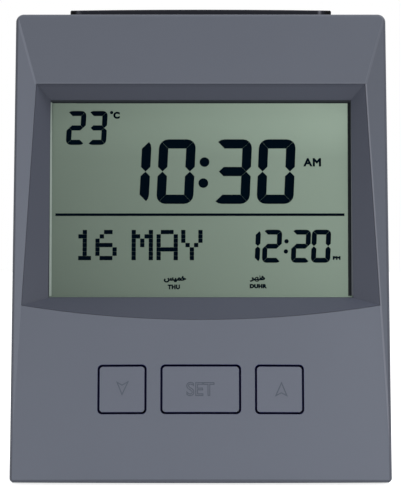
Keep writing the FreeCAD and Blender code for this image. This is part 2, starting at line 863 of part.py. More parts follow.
def assembly():
    """Every node of the clock by name, in the desk frame."""
    nodes = {"front_case": front_case(), "rear_case": rear_case(), "screen_bezel": screen_bezel(),
             "lcd_panel": lcd_panel(), "lcd_reflector": lcd_reflector(), "lcd_holder": lcd_holder(),
             "zebra_strip": zebra_strip(), "main_board": main_board(), "chip_cover": chip_cover(),
             "sound_chip": sound_chip(), "quartz_crystal": quartz_crystal(), "capacitor": capacitor(),
             "thermistor": thermistor(), "snooze_bar": snooze_bar(), "snooze_board": snooze_board(),
             "snooze_switch": snooze_switch(), "snooze_plunger": snooze_plunger(),
             "battery_door": battery_door(), "battery_lower": battery(cell_levels[0], 1),
             "battery_upper": battery(cell_levels[1], -1), "contact_link": contact(-1, cell_levels),
             "contact_lower": contact(1, cell_levels[:1]), "contact_upper": contact(1, cell_levels[1:]),
             "speaker_basket": speaker_basket(), "speaker_cone": speaker_cone(),
             "speaker_magnet": speaker_magnet()}
    for name, (x, width) in keys.items():
        nodes["key_" + name] = key(x, width)
        nodes["switch_" + name] = tact_switch(x, key_centre)
        nodes["plunger_" + name] = tact_plunger(x, key_centre)
    for name, side in zip(("left", "right"), sides):
        nodes["clamp_" + name] = speaker_clamp(side)
        nodes["clamp_screw_" + name] = clamp_screw(side)
    corners = ("lower_left", "lower_right", "upper_left", "upper_right")
    for name, case_post, board_post in zip(corners, case_posts, board_posts):
        nodes["case_screw_" + name] = case_screw(*case_post)
        nodes["board_screw_" + name] = board_screw(*board_post)
    for name, place in zip(("front_left", "front_right", "rear_left", "rear_right"), feet):
        nodes["foot_" + name] = foot(*place)
    return nodes


os.makedirs("parts", exist_ok=True)
nodes = assembly()
whole = Part.makeCompound([nodes["front_case"], nodes["rear_case"]]).optimalBoundingBox(False, False)
home = Vector(0, -(whole.YMin + whole.YMax) / 2, foot_height)
for name, shape in nodes.items():
    shape.translate(home)
    shape.exportStep("parts/" + name + ".step")
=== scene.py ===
import json
import math

import bmesh
import bpy
from mathutils import Matrix, Vector
from mathutils.bvhtree import BVHTree


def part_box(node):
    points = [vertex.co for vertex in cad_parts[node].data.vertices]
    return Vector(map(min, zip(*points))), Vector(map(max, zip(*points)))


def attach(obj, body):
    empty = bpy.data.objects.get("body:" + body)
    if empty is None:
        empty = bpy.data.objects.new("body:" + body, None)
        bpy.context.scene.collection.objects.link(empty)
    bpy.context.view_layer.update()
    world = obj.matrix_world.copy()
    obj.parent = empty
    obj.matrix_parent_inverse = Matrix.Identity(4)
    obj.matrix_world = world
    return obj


# A desk clock for prayer times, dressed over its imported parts. Lengths are in metres, angles in degrees.

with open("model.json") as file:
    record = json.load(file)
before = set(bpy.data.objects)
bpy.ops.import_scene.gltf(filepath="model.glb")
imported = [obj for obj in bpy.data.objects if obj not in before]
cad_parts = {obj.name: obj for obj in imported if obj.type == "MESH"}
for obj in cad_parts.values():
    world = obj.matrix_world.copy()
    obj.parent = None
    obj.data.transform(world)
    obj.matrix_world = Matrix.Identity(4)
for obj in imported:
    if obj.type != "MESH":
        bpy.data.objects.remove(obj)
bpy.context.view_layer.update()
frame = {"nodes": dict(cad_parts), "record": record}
print("frame loaded")

# The face leans back about its bottom edge. The display glass says where that edge is.
face = dict(lean=11.0, glassFoot=0.05635, glassDepth=0.0052, glassHeight=0.069)


def leanParts():
    return math.sin(math.radians(face["lean"])), math.cos(math.radians(face["lean"]))


def faceOrigin():
    low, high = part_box("lcd_panel")
    sine, cosine = leanParts()
    y = low.y - face["glassDepth"] * cosine - face["glassFoot"] * sine
    z = high.z - (face["glassFoot"] + face["glassHeight"]) * cosine + face["glassDepth"] * sine
    return Vector((0, y, z))


def onFace(x, up, depth):
    # a flat drawing (x across, y up, z outwards) goes to this place on the leaned face
    turn = Matrix.Rotation(math.radians(90 - face["lean"]), 4, "X")
    return Matrix.Translation(faceOrigin()) @ turn @ Matrix.Translation((x, up, -depth))


# camera

view = dict(lens=199.75, sensor=36.0, near=0.05, across=-0.00008, ahead=0.687, height=0.0725)


def makeCamera():
    data = bpy.data.cameras.new("camera")
    data.lens = view["lens"]
    data.sensor_width = view["sensor"]
    data.sensor_fit = "HORIZONTAL"
    data.clip_start = view["near"]
    camera = bpy.data.objects.new("camera", data)
    camera.location = faceOrigin() + Vector((view["across"], -view["ahead"], view["height"]))
    camera.rotation_euler = (math.radians(90), 0, 0)
    bpy.context.scene.collection.objects.link(camera)
    bpy.context.scene.camera = camera


makeCamera()
bpy.context.scene.view_settings.view_transform = "Standard"
print("camera placed")


# shader maths

class Wire:
    # one socket of a material, so that sums on it read as sums
    def __init__(self, finish, socket):
        self.finish = finish
        self.socket = socket

    def sum(self, operation, first, second):
        node = self.finish.add("ShaderNodeMath", dict(operation=operation), {0: first, 1: second})
        return Wire(self.finish, node.outputs[0])

    def __add__(self, other):
        return self.sum("ADD", self, other)

    __radd__ = __add__

    def __sub__(self, other):
        return self.sum("SUBTRACT", self, other)

    def __rsub__(self, other):
        return self.sum("SUBTRACT", other, self)

    def __mul__(self, other):
        return self.sum("MULTIPLY", self, other)

    __rmul__ = __mul__

    def over(self, limit):
        return self.sum("GREATER_THAN", self, limit)

    def size(self):
        return self.sum("ABSOLUTE", self, 0.0)

    def least(self, other):
        return self.sum("MINIMUM", self, other)

    def most(self, other):
        return self.sum("MAXIMUM", self, other)

    def clamped(self):
        node = self.finish.add("ShaderNodeClamp", {}, {0: self})
        return Wire(self.finish, node.outputs[0])


class Finish:
    # one material, and its nodes
    def __init__(self, name, roughness, metallic=0.0, specular=0.5, coat=0.0, coatRoughness=0.1):
        self.material = bpy.data.materials.new(name)
        self.material.use_nodes = True
        self.tree = self.material.node_tree
        self.shader = self.tree.nodes["Principled BSDF"]
        self.shader.inputs["Roughness"].default_value = roughness
        self.shader.inputs["Metallic"].default_value = metallic
        self.shader.inputs["Specular IOR Level"].default_value = specular
        self.shader.inputs["Coat Weight"].default_value = coat
        self.shader.inputs["Coat Roughness"].default_value = coatRoughness

    def feed(self, socket, value):
        if isinstance(value, Wire):
            self.tree.links.new(value.socket, socket)
        else:
            socket.default_value = value

    def add(self, kind, settings, inputs):
        node = self.tree.nodes.new(kind)
        for name, value in settings.items():
            setattr(node, name, value)
        for name, value in inputs.items():
            self.feed(node.inputs[name], value)
        return node

    def place(self):
        node = self.add("ShaderNodeTexCoord", {}, {})
        return Wire(self, node.outputs["Object"])

    def axis(self, letter):
        node = self.add("ShaderNodeSeparateXYZ", {}, {0: self.place()})
        return Wire(self, node.outputs[letter])

    def noise(self, scale, detail=3.0, roughness=0.5, place=None):
        node = self.add("ShaderNodeTexNoise", {}, {"Vector": place or self.place(), "Scale": scale,
                                                   "Detail": detail, "Roughness": roughness})
        return Wire(self, node.outputs[0])

    def mix(self, share, first, second):
        node = self.add("ShaderNodeMix", dict(data_type="RGBA"), {0: share, 6: first, 7: second})
        return Wire(self, node.outputs[2])

    def scaled(self, colour, factor):
        node = self.add("ShaderNodeVectorMath", dict(operation="SCALE"), {0: colour, "Scale": factor})
        return Wire(self, node.outputs[0])

    def bump(self, height, strength, distance):
        node = self.add("ShaderNodeBump", {}, {"Strength": strength, "Distance": distance, "Height": height})
        self.feed(self.shader.inputs["Normal"], Wire(self, node.outputs[0]))

    def set(self, name, value):
        self.feed(self.shader.inputs[name], value)


def tone(red, green, blue):
    # a screen colour of 0 to 255, as the light it stands for
    parts = []
    for part in (red, green, blue):
        part /= 255
        parts.append(part / 12.92 if part <= 0.04045 else ((part + 0.055) / 1.055) ** 2.4)
    return (*parts, 1.0)


def shade(colour, factor):
    return tuple(part * factor for part in colour[:3]) + (1.0,)


# materials

plastics = dict(
    casePlastic=dict(colour=tone(107, 112, 124), roughness=0.46, specular=0.26,
                     scale=2600.0, strength=0.12, depth=0.00003),
    bezelPlastic=dict(colour=tone(77, 81, 94), roughness=0.42, specular=0.22,
                      scale=3200.0, strength=0.08, depth=0.00002),
    keyPlastic=dict(colour=tone(111, 116, 129), roughness=0.46, specular=0.26,
                    scale=2600.0, strength=0.12, depth=0.00003),
    blackPlastic=dict(colour=tone(38, 39, 47), roughness=0.36, specular=0.1,
                      scale=3000.0, strength=0.06, depth=0.00002),
    whitePlastic=dict(colour=tone(222, 221, 214), roughness=0.5, specular=0.26,
                      scale=1800.0, strength=0.1, depth=0.00003))
grain = dict(cloudScale=38.0, cloudShare=0.7, speckShare=0.3, detail=2.0, speckRoughness=0.6, darker=0.96,
             lighter=1.04, polish=0.05, cloudSway=0.06, speckSway=0.04)


def moulded(name):
    # satin moulded plastic: spark-eroded grain, with slow drifts of tone and gloss
    values = plastics[name]
    finish = Finish(name, values["roughness"], specular=values["specular"])
    cloud = finish.noise(grain["cloudScale"], grain["detail"])
    speck = finish.noise(values["scale"], grain["detail"], grain["speckRoughness"])
    colour = finish.mix(cloud * grain["cloudShare"] + speck * grain["speckShare"],
                        shade(values["colour"], grain["darker"]), shade(values["colour"], grain["lighter"]))
    finish.set("Base Color", colour)
    finish.set("Roughness", values["roughness"] - grain["polish"] + cloud * grain["cloudSway"]
               + speck * grain["speckSway"])
    finish.bump(speck, values["strength"], values["depth"])
    return finish, colour


def leanedAxes(finish):
    # where a point lies on the leaned face: across it, up it, and how deep behind it
    sine, cosine = leanParts()
    back = finish.axis("Y") - faceOrigin().y
    rise = finish.axis("Z") - faceOrigin().z
    return finish.axis("X"), back * sine + rise * cosine, back * cosine - rise * sine


# painted shade in the keys' gaps: dark is the near-black blue that stands for the shade there
keyGap = dict(pitch=0.02445, centre=0.0288, setHalf=0.0125, arrowHalf=0.0076, halfHeight=0.0077,
              corner=0.00145, width=0.0006, skin=0.00006, start=-0.0011, end=0.005, dark=tone(2, 10, 84))


def pastKeys(across, height, spread):
    # 1 where a point lies outside the rounded outlines of the keys' holes, grown by the spread
    side = across.size()
    side = (side - keyGap["setHalf"]).least((side - keyGap["pitch"]).size() - keyGap["arrowHalf"])
    side = (side + keyGap["corner"]).most(0.0)
    rise = ((height - keyGap["centre"]).size() - keyGap["halfHeight"] + keyGap["corner"]).most(0.0)
    return (side * side + rise * rise).over((keyGap["corner"] + spread) ** 2)


# painted light and shade for the case: darker towards the top, highlights along the right crease and the
# forehead's mitres, shade on the side rims and foot
shadeByHeight = dict(reach=0.15, foot=1.1, head=0.89)
creases = dict(foot=0.05915, closing=0.05143, top=0.1272, inside=0.0001, outside=0.00045, skin=0.003,
               shine=0.42, light=tone(160, 162, 174))
mitres = dict(across=0.0527, slope=0.281, half=0.0004, ledge=0.0007, shine=0.13, ledgeShare=0.5)
rims = dict(start=0.05835, fall=0.02, skin=0.0012, base=0.0009, shadow=0.5, dark=tone(54, 56, 65))


def casePlastic():
    # the case's own plastic, with painted highlights along some edges and painted shade towards its top, round
    # its side rims, at its foot and in the keys' holes
    finish, colour = moulded("casePlastic")
    across, height, depth = leanedAxes(finish)
    # painted shade: the case is lighter at its foot and darker towards its top
    upShare = (height * (1 / shadeByHeight["reach"])).clamped()
    colour = finish.scaled(colour, shadeByHeight["foot"] + upShare * (shadeByHeight["head"] - shadeByHeight["foot"]))

    # painted highlight: a light line along the crease between the front and its right side strip
    beyond = across - creases["foot"] + height * creases["closing"]
    line = beyond.over(-creases["inside"]) * (1 - beyond.over(creases["outside"]))
    line = line * (1 - depth.over(creases["skin"])) * (1 - height.over(creases["top"]))
    colour = finish.mix(line * creases["shine"], colour, creases["light"])

    # painted highlight along the forehead's lower edge and the mitres at its two ends
    aboveTop = height - creases["top"]
    upper = height.over(creases["top"]) * (1 - depth.over(creases["skin"]))
    mitre = across.size() - aboveTop * mitres["slope"] - mitres["across"]
    ledge = (1 - aboveTop.over(mitres["ledge"])) * (1 - mitre.over(0.0)) * mitres["ledgeShare"]
    edge = ledge + (1 - mitre.size().over(mitres["half"]))
    colour = finish.mix(upper * edge.clamped() * mitres["shine"], colour, creases["light"])

    # painted shade on the side rims and the foot
    rim = across.size().over(rims["start"]) * (1 - (depth + height * rims["fall"]).over(rims["skin"]))
    rim = (rim + (1 - height.over(rims["base"]))).clamped()
    colour = finish.mix(rim * rims["shadow"], colour, rims["dark"])

    # painted shade: the walls of the keys' holes take the near-black blue of the shade in the gaps
    well = (1 - pastKeys(across, height, keyGap["skin"])) * (1 - depth.over(keyGap["end"]))
    finish.set("Base Color", finish.mix(well, colour, keyGap["dark"]))
    return finish.material


# painted shade on the bezel
brim = dict(start=0.1265, shadow=0.25, dark=tone(52, 55, 68), middle=0.955, drift=1.5)


def bezelPlastic():
    # the bezel's plastic, with painted shade: a little darker along its top edge and towards the left
    finish, colour = moulded("bezelPlastic")
    across, height, depth = leanedAxes(finish)
    colour = finish.scaled(colour, brim["middle"] + across * brim["drift"])
    finish.set("Base Color", finish.mix(height.over(brim["start"]) * brim["shadow"], colour, brim["dark"]))
    return finish.material


def keyPlastic():
    # the keys' plastic, with painted shade: near-black blue below the face, where only their gaps show it
    finish, colour = moulded("keyPlastic")
    across, height, depth = leanedAxes(finish)
    wall = pastKeys(across, height, -keyGap["width"] - keyGap["skin"]).most(depth.over(keyGap["start"]))
    finish.set("Base Color", finish.mix(wall, colour, keyGap["dark"]))
    return finish.material


# painted glints and painted end shade on the press bar's front
barEnds = dict(right=0.886, left=0.912, half=0.018, fall=0.025, rightShine=0.6, leftShine=0.2, start=0.915,
               pace=50.0, front=0.0014, light=tone(150, 150, 160), dark=tone(2, 2, 5))


def blackPlastic():
    # the press bar's satin black, with a painted glint near each end of its front and painted shade, deep
    # black, beyond it
    finish, colour = moulded("blackPlastic")
    low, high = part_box("snooze_bar")
    across = finish.axis("X") * (1 / high.x)
    front = 1 - (finish.axis("Y") - low.y).over(barEnds["front"])
    right = (1.0 - (across - barEnds["right"]).size() * (1 / barEnds["half"])).clamped()
    left = (1.0 - (across + barEnds["left"]).size() * (1 / barEnds["fall"])).clamped()
    end = ((across.size() - barEnds["start"]) * barEnds["pace"]).clamped()
    colour = finish.mix(end * front, colour, barEnds["dark"])
    glint = (right * barEnds["rightShine"] + left * barEnds["leftShine"]).clamped() * front
    finish.set("Base Color", finish.mix(glint, colour, barEnds["light"]))
    return finish.material


glass = dict(dark=tone(99, 112, 102), light=tone(168, 188, 171), half=0.0482, foot=0.058, top=0.121,
             roughness=0.3, specular=0.16, acrossShare=0.483, riseShare=0.17, highStart=0.7, highPace=3.3,
             highAcross=0.42, highShare=0.1, cloudScale=60.0, cloudDetail=2.0, cloudShare=0.034,
             frostScale=4000.0, frostDetail=1.0, frostStrength=0.05, frost=0.00001)


def displayGlass():
    # the liquid crystal's grey green, with painted light: deeper towards the lower left and lighter towards the
    # upper right, where the light falls and reflects
    finish = Finish("displayGlass", glass["roughness"], specular=glass["specular"])
    across = (finish.axis("X") + glass["half"]) * (0.5 / glass["half"])
    rise = (finish.axis("Z") - glass["foot"]) * (1 / (glass["top"] - glass["foot"]))
    # painted light near the top, lifting the shade that the lip casts there
    high = ((rise - glass["highStart"]) * glass["highPace"]).clamped()
    cloud = finish.noise(glass["cloudScale"], glass["cloudDetail"])
    share = (across * glass["acrossShare"] + rise * glass["riseShare"]
             + high * (across * glass["highAcross"] + glass["highShare"]) + cloud * glass["cloudShare"])
    finish.set("Base Color", finish.mix(share.clamped(), glass["dark"], glass["light"]))
    finish.bump(finish.noise(glass["frostScale"], glass["frostDetail"]), glass["frostStrength"], glass["frost"])
    return finish.material


film = dict(roughness=0.38, specular=0.01, cloudScale=420.0, darker=0.85, lighter=1.15, least=0.34, sway=0.08)


def printedInk(name, colour):
    # a printed or energised film: nearly even, with a faint cloud in it
    finish = Finish(name, film["roughness"], specular=film["specular"])
    cloud = finish.noise(film["cloudScale"])
    finish.set("Base Color", finish.mix(cloud, shade(colour, film["darker"]), shade(colour, film["lighter"])))
    finish.set("Roughness", film["least"] + cloud * film["sway"])
    return finish.material


board = dict(mask=tone(24, 84, 52), trace=tone(40, 112, 70), cell=420.0, mortar=0.03, offset=0.5, squash=0.7,
             roughness=0.35, coat=0.4, coatRoughness=0.15, cloudScale=90.0, cloudDetail=2.0, cloudShare=0.4,
             strength=0.3, depth=0.00003)


def circuitBoard():
    # green lacquer over runs of copper
    finish = Finish("circuitBoard", board["roughness"], coat=board["coat"],
                    coatRoughness=board["coatRoughness"])
    runs = finish.add("ShaderNodeTexBrick", dict(offset=board["offset"], squash=board["squash"]),
                      {"Vector": finish.place(), "Scale": board["cell"], "Color1": board["mask"],
                       "Color2": board["mask"], "Mortar": board["trace"], "Mortar Size": board["mortar"]})
    cloud = finish.noise(board["cloudScale"], board["cloudDetail"])
    lacquer = finish.mix(cloud * board["cloudShare"], Wire(finish, runs.outputs[0]), board["mask"])
    finish.set("Base Color", lacquer)
    finish.bump(Wire(finish, runs.outputs[1]), board["strength"], board["depth"])
    return finish.material


metals = dict(
    reflectorFilm=dict(colour=(0.62, 0.64, 0.6, 1.0), roughness=0.4, stretch=(1.0, 1.0, 30.0)),
    platedSteel=dict(colour=(0.66, 0.66, 0.64, 1.0), roughness=0.28, stretch=(1.0, 1.0, 18.0)),
    screwSteel=dict(colour=(0.5, 0.5, 0.52, 1.0), roughness=0.34, stretch=(14.0, 1.0, 1.0)))
drawing = dict(scale=900.0, detail=4.0, darker=0.8, polish=0.08, sway=0.16, strength=0.1, depth=0.00001)


def drawnMetal(name):
    # plated or turned metal with fine drawing lines
    values = metals[name]
    finish = Finish(name, values["roughness"], metallic=1.0)
    lines = finish.add("ShaderNodeMapping", {}, {"Vector": finish.place(), "Scale": values["stretch"]})
    streak = finish.noise(drawing["scale"], drawing["detail"], place=Wire(finish, lines.outputs[0]))
    finish.set("Base Color", finish.mix(streak, shade(values["colour"], drawing["darker"]), values["colour"]))
    finish.set("Roughness", values["roughness"] - drawing["polish"] + streak * drawing["sway"])
    finish.bump(streak, drawing["strength"], drawing["depth"])
    return finish.material


stuffs = dict(
    elastomer=dict(dark=tone(226, 140, 150), light=tone(240, 168, 176), roughness=0.6,
                   scale=700.0, strength=0.2),
    epoxy=dict(dark=tone(14, 14, 15), light=tone(28, 28, 30), roughness=0.28, scale=240.0, strength=0.15),
    conePaper=dict(dark=tone(30, 28, 27), light=tone(58, 54, 50), roughness=0.8, scale=1400.0, strength=0.4),
    magnet=dict(dark=tone(40, 40, 43), light=tone(66, 66, 70), roughness=0.5, scale=900.0, strength=0.2),
    footRubber=dict(dark=tone(30, 31, 34), light=tone(46, 47, 51), roughness=0.75,
                    scale=1100.0, strength=0.35))
mottle = dict(specular=0.35, detail=5.0, roughness=0.65, polish=0.06, sway=0.12, depth=0.00005)


def mottled(name):
    # soft or fibrous stuffs: rubber, card, resin, ferrite
    values = stuffs[name]
    finish = Finish(name, values["roughness"], specular=mottle["specular"])
    mark = finish.noise(values["scale"], mottle["detail"], mottle["roughness"])
    finish.set("Base Color", finish.mix(mark, values["dark"], values["light"]))
    finish.set("Roughness", values["roughness"] - mottle["polish"] + mark * mottle["sway"])
    finish.bump(mark, values["strength"], mottle["depth"])
    return finish.material


wrap = dict(body=tone(28, 92, 150), collar=tone(196, 200, 204), end=0.0195, roughness=0.3, coat=0.5,
            coatRoughness=0.1, cloudScale=120.0, cloudDetail=2.0, darker=0.85, lighter=1.1, shine=0.8)


def cellWrap():
    # a plain sleeve with a bright collar towards the positive end
    finish = Finish("cellWrap", wrap["roughness"], coat=wrap["coat"], coatRoughness=wrap["coatRoughness"])
    collar = finish.axis("X").over(wrap["end"])
    cloud = finish.noise(wrap["cloudScale"], wrap["cloudDetail"])
    sleeve = finish.mix(cloud, shade(wrap["body"], wrap["darker"]), shade(wrap["body"], wrap["lighter"]))
    finish.set("Base Color", finish.mix(collar, sleeve, wrap["collar"]))
    finish.set("Metallic", collar * wrap["shine"])
    return finish.material


# painted light and shade for the lip round the window: dark is painted shadow, light a painted highlight, wall
# a painted lit grey
lip = dict(side=0.0472, sideLean=0.0077, outer=0.04755, outerLean=0.0054, inner=0.04668, innerLean=0.0085,
           start=0.004, slope=0.0012, mirror=0.0044, mirrorSide=0.04, mirrorPace=5.0, mirrorStart=0.24,
           head=0.1223, foot=0.0594, roughness=0.5, specular=0.1, cloudScale=500.0, cloudDetail=2.0,
           darker=0.9, lighter=1.1, dark=tone(24, 29, 32), edge=tone(62, 66, 72), light=tone(156, 168, 161),
           wall=tone(118, 122, 131), low=tone(72, 76, 84))


def lipEdge():
    # painted light and shade round the glass: painted shadow above and in the dark line on the right, a painted
    # lit grey on the right wall, a painted highlight pale on the left, and low down it takes on the glass's own
    # painted colours
    finish = Finish("lipEdge", lip["roughness"], specular=lip["specular"])
    across, height, depth = leanedAxes(finish)
    left = across * -1
    cloud = finish.noise(lip["cloudScale"], lip["cloudDetail"])
    dark = finish.mix(cloud, shade(lip["dark"], lip["darker"]), shade(lip["dark"], lip["lighter"]))
    brightness = (across * lip["mirrorPace"] + lip["mirrorStart"]).clamped()
    mirrored = finish.mix(brightness, glass["dark"], glass["light"])
    colour = finish.mix((across - height * lip["sideLean"]).over(lip["side"]), dark, lip["wall"])
    colour = finish.mix(left.over(lip["mirrorSide"]), colour, mirrored)
    colour = finish.mix((left - height * lip["innerLean"]).over(lip["inner"]), colour, lip["light"])
    colour = finish.mix((left - height * lip["outerLean"]).over(lip["outer"]), colour, lip["edge"])
    above = finish.mix(((depth - lip["start"]) * (1 / lip["slope"])).clamped(), lip["edge"], dark)
    colour = finish.mix(height.over(lip["head"]), colour, above)
    low = finish.mix(depth.over(lip["mirror"]), lip["low"], mirrored)
    finish.set("Base Color", finish.mix(height.over(lip["foot"]), low, colour))
    return finish.material


finishes = {
    "case_plastic": casePlastic(),
    "bezel_plastic": bezelPlastic(),
    "key_plastic": keyPlastic(),
    "black_plastic": blackPlastic(),
    "white_plastic": moulded("whitePlastic")[0].material,
    "lcd_glass": displayGlass(),
    "reflector_film": drawnMetal("reflectorFilm"),
    "elastomer": mottled("elastomer"),
    "circuit_board": circuitBoard(),
    "epoxy": mottled("epoxy"),
    "plated_steel": drawnMetal("platedSteel"),
    "screw_steel": drawnMetal("screwSteel"),
    "cell_wrap": cellWrap(),
    "cone_paper": mottled("conePaper"),
    "magnet": mottled("magnet"),
    "foot_rubber": mottled("footRubber")}
ink = printedInk("displayInk", tone(0, 10, 20))
markInk = printedInk("keyMarkInk", tone(94, 100, 111))
lipLightAndShade = lipEdge()

for part in frame["record"]["subparts"]:
    for place in frame["nodes"][part["node"]].material_slots:
        place.material = finishes[part["material_slot"]]
print("materials made")


# small tools for the pieces

def asPiece(name, mesh, material, body="housing"):
    mesh.materials.clear()
    mesh.materials.append(material)
    piece = bpy.data.objects.new(name, mesh)
    bpy.context.scene.collection.objects.link(piece)
    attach(piece, body)
    return piece


def outlineFace(bm, points):
    return bm.faces.new([bm.verts.new((x, y, 0)) for x, y in points])


def keepRim(bm, width, drop=0.0):
    # a rim of this width is all that stays of the flat faces; its inner edge may drop
    middle = list(bm.faces)
    bmesh.ops.inset_region(bm, faces=middle, thickness=width, depth=-drop, use_boundary=True,
                           use_even_offset=True)
    bmesh.ops.delete(bm, geom=middle, context="FACES")


def thicken(bm, thickness):
    # every flat outline becomes a thin plate that stands outwards
    made = bmesh.ops.extrude_face_region(bm, geom=list(bm.faces), use_keep_orig=True)
    top = [item for item in made["geom"] if isinstance(item, bmesh.types.BMVert)]
    bmesh.ops.translate(bm, vec=(0, 0, thickness), verts=top)
    bmesh.ops.recalc_face_normals(bm, faces=list(bm.faces))


def finishMesh(bm, name, matrix):
    mesh = bpy.data.meshes.new(name)
    bm.to_mesh(mesh)
    bm.free()
    mesh.transform(matrix)
    return mesh


# display: places are across from the middle and up from the window's foot, on the glass

display = dict(windowFoot=0.05865, sink=0.00001, thickness=0.00004)


def asFilm(bm, name):
    # the plates lie on the glass, sunk into it by a hair
    matrix = onFace(0, display["windowFoot"], face["glassDepth"] + display["sink"])
    return asPiece(name, finishMesh(bm, name, matrix), ink)


# the digits' outer corners: round is their radius in strokes, and the turns are points on a quarter circle
strokes = dict(slant=2.6, gap=0.00003, round=0.95, turnNear=0.293, turnMiddle=0.617, turnEdge=0.076,
               dotSides=24)
segments = {"1": "bc", "2": "abged", "3": "abgcd", "0": "abcdef"}
clocks = dict(
    temperature=dict(text="23", cells=(-0.04326, -0.03644), foot=0.04987, width=0.00609, height=0.01119,
                     thick=0.00166, dots=()),
    time=dict(text="1030", cells=(-0.0284, -0.01421, 0.00378, 0.01777), foot=0.03054, width=0.01175,
              height=0.02114, thick=0.003, dots=((0.00121, 0.04421, 0.00156), (0.00082, 0.03733, 0.00156))),
    prayer=dict(text="1220", cells=(0.01256, 0.01936, 0.02853, 0.03491), foot=0.01146, width=0.0061,
                height=0.01068, thick=0.00158, dots=((0.02725, 0.01838, 0.0007), (0.02702, 0.01511, 0.0007))))


def segmentOutline(letter, width, height, thick):
    # one of the seven strokes: mitred ends, with the digit's outer corner turned in three steps
    gap, radius, middle, half = strokes["gap"], strokes["round"] * thick, height / 2, thick / 2
    near, mid, edge = (strokes[turn] * radius for turn in ("turnNear", "turnMiddle", "turnEdge"))
    level = [(near + gap, height - near), (mid + gap, height - edge), (radius + gap, height),
             (width - radius - gap, height), (width - mid - gap, height - edge),
             (width - near - gap, height - near), (width - thick - gap, height - thick),
             (thick + gap, height - thick)]
    upright = [(near, height - near - gap), (edge, height - mid - gap), (0, height - radius - gap),
               (0, middle + half + gap), (half, middle + gap), (thick, middle + half + gap),
               (thick, height - thick - gap)]
    bar = [(half + gap, middle), (thick + gap, middle + half), (width - thick - gap, middle + half),
           (width - half - gap, middle), (width - thick - gap, middle - half), (thick + gap, middle - half)]
    shape = dict(a=level, d=level, f=upright, b=upright, e=upright, c=upright, g=bar)[letter]
    if letter in "bc":
        shape = [(width - x, y) for x, y in shape]
    if letter in "dec":
        shape = [(x, height - y) for x, y in shape]
    return shape


def digits(name, values):
    bm = bmesh.new()
    lean = math.tan(math.radians(strokes["slant"]))
    for character, left in zip(values["text"], values["cells"]):
        for letter in segments[character]:
            points = segmentOutline(letter, values["width"], values["height"], values["thick"])
            outlineFace(bm, [(left + x + lean * y, values["foot"] + y) for x, y in points])
    for x, up, radius in values["dots"]:
        bmesh.ops.create_circle(bm, cap_ends=True, segments=strokes["dotSides"], radius=radius,
                                matrix=Matrix.Translation((x, up, 0)))
    thicken(bm, display["thickness"])
    return asFilm(bm, name)


for name, values in clocks.items():
    digits(name + "Digits", values)

matrixText = dict(foot=0.01228, acrossPitch=0.001362, upPitch=0.001404, dot=0.00136, rounding=0.00012,
                  starts=(-0.03888, -0.03347, -0.02197, -0.01406, -0.00622))
dotRows = ((".#.", "##.", ".#.", ".#.", ".#.", ".#.", "###"),
           ("..##.", ".#...", "#....", "####.", "#...#", "#...#", ".###."),
           ("#...#", "##.##", "#.#.#", "#.#.#", "#...#", "#...#", "#...#"),
           (".###.", "#...#", "#...#", "#...#", "#####", "#...#", "#...#"),
           ("#...#", "#...#", "#...#", ".#.#.", "..#..", "..#..", "..#.."))


def dateDots():
    bm = bmesh.new()
    half = matrixText["dot"] / 2
    for start, rows in zip(matrixText["starts"], dotRows):
        for row, line in enumerate(reversed(rows)):
            for column, sign in enumerate(line):
                if sign == "#":
                    x = start + column * matrixText["acrossPitch"] + half
                    y = matrixText["foot"] + row * matrixText["upPitch"] + half
                    bmesh.ops.create_grid(bm, x_segments=1, y_segments=1, size=half,
                                          matrix=Matrix.Translation((x, y, 0)))
    bmesh.ops.bevel(bm, geom=list(bm.verts), offset=matrixText["rounding"], affect="VERTICES", segments=2,
                    profile=0.5, material=-1)
    thicken(bm, display["thickness"])
    return asFilm(bm, "dateDots")


dateDots()

rule = dict(left=-0.04628, right=0.04575, foot=0.0266, height=0.00084)


def displayRule():
    bm = bmesh.new()
    head = rule["foot"] + rule["height"]
    outlineFace(bm, [(rule["left"], rule["foot"]), (rule["right"], rule["foot"]), (rule["right"], head),
                     (rule["left"], head)])
    thicken(bm, display["thickness"])
    return asFilm(bm, "displayRule")


displayRule()

lettering = dict(size=1.0, bevelSteps=1, extrude=0.02)


def lettered(name, words, left, foot, width, height, weight, spread=1.0, hollow=False):
    # letters are made a mesh, then fitted to the room they have; hollow ones are outlines alone
    curve = bpy.data.curves.new(name, "FONT")
    curve.body = words
    curve.size = lettering["size"]
    curve.bevel_depth = weight
    curve.bevel_resolution = lettering["bevelSteps"]
    curve.space_character = spread
    if hollow:
        curve.fill_mode = "NONE"
    else:
        curve.extrude = lettering["extrude"]
    source = bpy.data.objects.new(name, curve)
    bpy.context.scene.collection.objects.link(source)
    bpy.context.view_layer.update()
    mesh = bpy.data.meshes.new_from_object(source.evaluated_get(bpy.context.evaluated_depsgraph_get()))
    bpy.data.objects.remove(source)
    low = Vector([min(vertex.co[axis] for vertex in mesh.vertices) for axis in range(3)])
    high = Vector([max(vertex.co[axis] for vertex in mesh.vertices) for axis in range(3)])
    size = high - low
    mesh.transform(Matrix.Translation(-low))
    mesh.transform(Matrix.Diagonal((width / size.x, height / size.y, display["thickness"] / size.z, 1)))
    mesh.transform(Matrix.Translation((left, foot, 0)))
    return mesh


